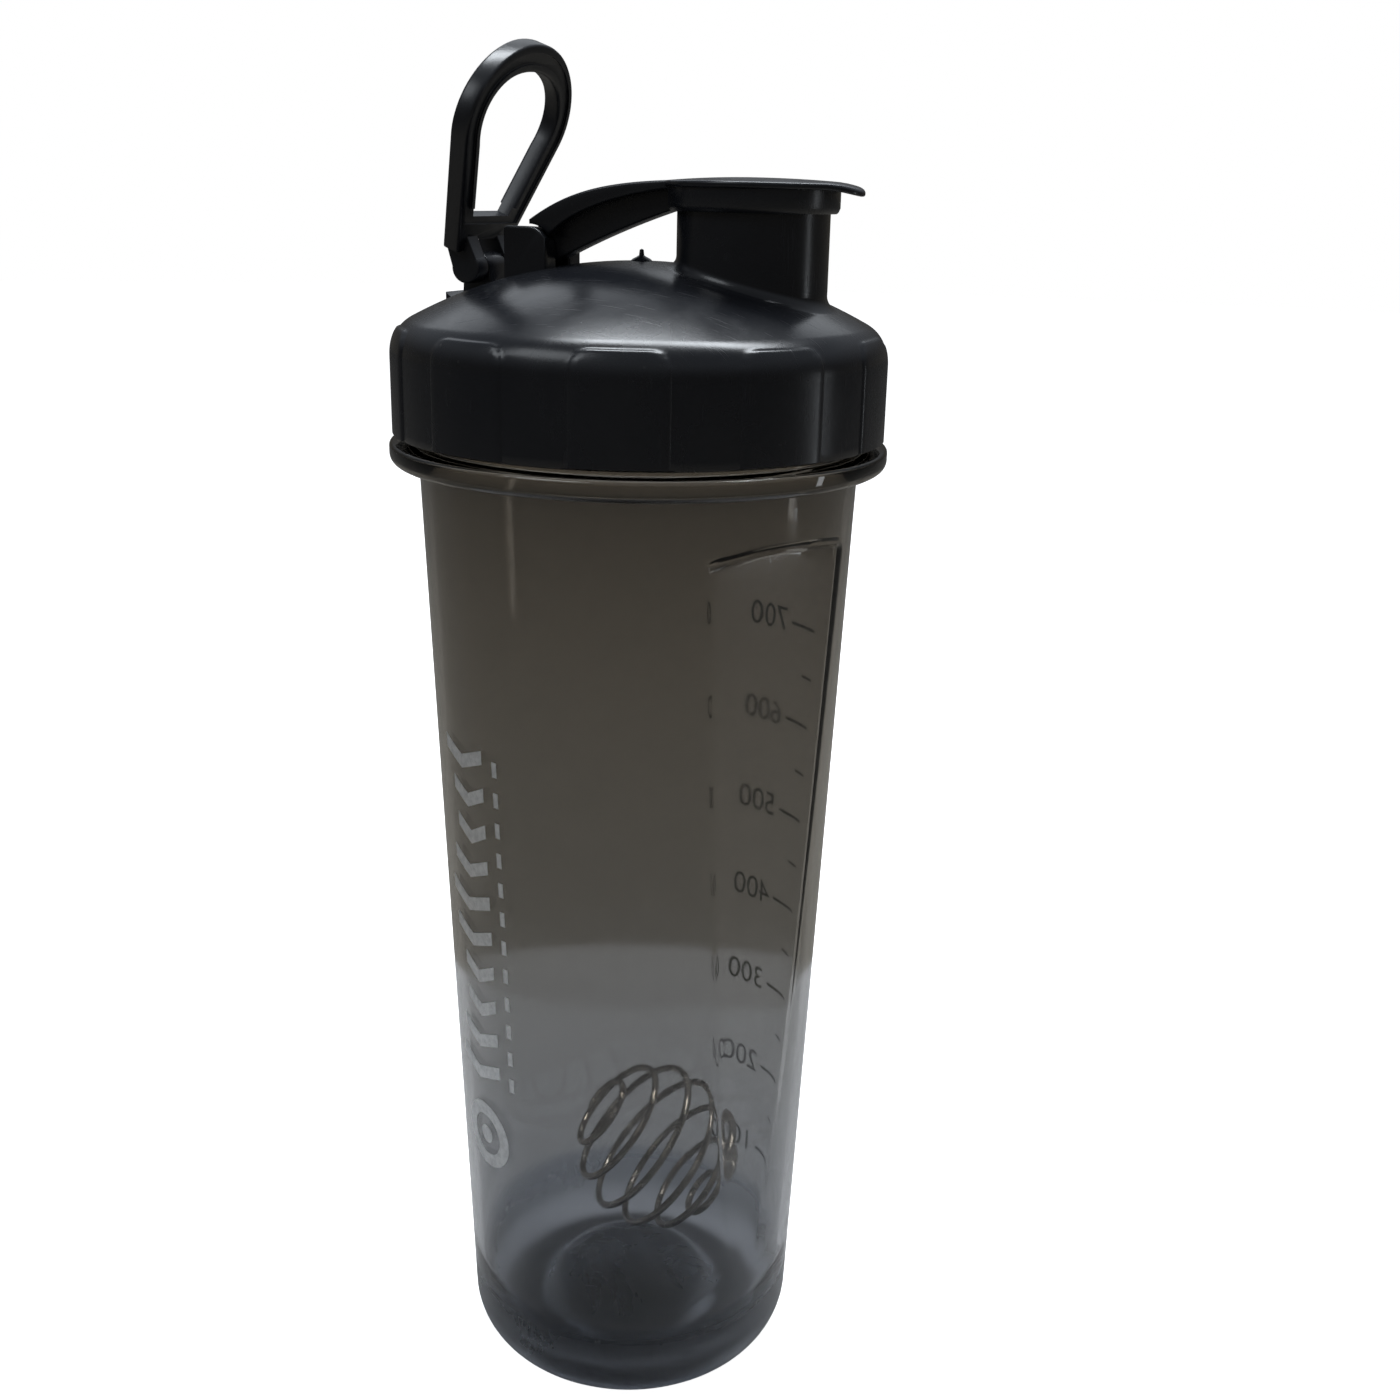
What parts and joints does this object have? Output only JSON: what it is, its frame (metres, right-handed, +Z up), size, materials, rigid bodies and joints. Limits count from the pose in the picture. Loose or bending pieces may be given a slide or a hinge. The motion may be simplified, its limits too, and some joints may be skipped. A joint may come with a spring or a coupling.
{
  "type": "protein shaker bottle",
  "caption": "Tapered see-through shaker cup with a screw lid, a pouring spout closed by a hinged flip cap, a folding carry loop and a loose wire whisk ball inside.",
  "frame": {"origin": "centre of the foot ring, on the surface the bottle stands on", "axes": "+Z up along the cup's axis, +X from the hinges towards the spout and the cap's thumb lip, hinge axes along Y"},
  "size_m": [0.096, 0.096, 0.2741],
  "materials": {
    "cup_plastic": "glossy smoke-tinted clear plastic",
    "lid_plastic": "satin black moulded polypropylene",
    "gasket_rubber": "matte dark grey silicone",
    "cap_plastic": "satin black moulded polypropylene",
    "loop_plastic": "satin black moulded polypropylene",
    "pin_plastic": "matte black moulded plastic",
    "wire_steel": "polished drawn stainless wire"
  },
  "bodies": {
    "cup": {"cup": "cup_plastic"},
    "gasket": {"lid_gasket": "gasket_rubber"},
    "lid": {"lid": "lid_plastic", "cap_hinge_pin": "pin_plastic", "loop_hinge_pin": "pin_plastic"},
    "flip_cap": {"flip_cap": "cap_plastic"},
    "carry_loop": {"carry_loop": "loop_plastic"},
    "whisk_ball": {"whisk_ball": "wire_steel"}
  },
  "joints": [
    {"name": "lid_lift", "type": "slide", "parent": "cup", "child": "gasket", "axis": [0, 0, 1], "range_m": [0, 0.0181]},
    {"name": "lid_turn", "type": "hinge", "parent": "gasket", "child": "lid", "pos_m": [0, 0, 0.21], "axis": [0, 0, 1], "range_deg": [0, 1080]},
    {"name": "cap_flip", "type": "hinge", "parent": "lid", "child": "flip_cap", "pos_m": [-0.0206, 0, 0.2364], "axis": [0, -1, 0], "range_deg": [0, 100]},
    {"name": "loop_swing", "type": "hinge", "parent": "lid", "child": "carry_loop", "pos_m": [-0.033, 0, 0.2328], "axis": [0, -1, 0], "range_deg": [0, 100]},
    {"name": "ball_slide", "type": "slide", "parent": "cup", "child": "whisk_ball", "axis": [0, 0, 1], "range_m": [0, 0.15]}
  ],
  "couplings": [
    {"joint": "lid_lift", "follows": "lid_turn", "m_per_rad": 0.00095493},
    {"joint": "loop_swing", "follows": "cap_flip", "ratio": 1}
  ]
}
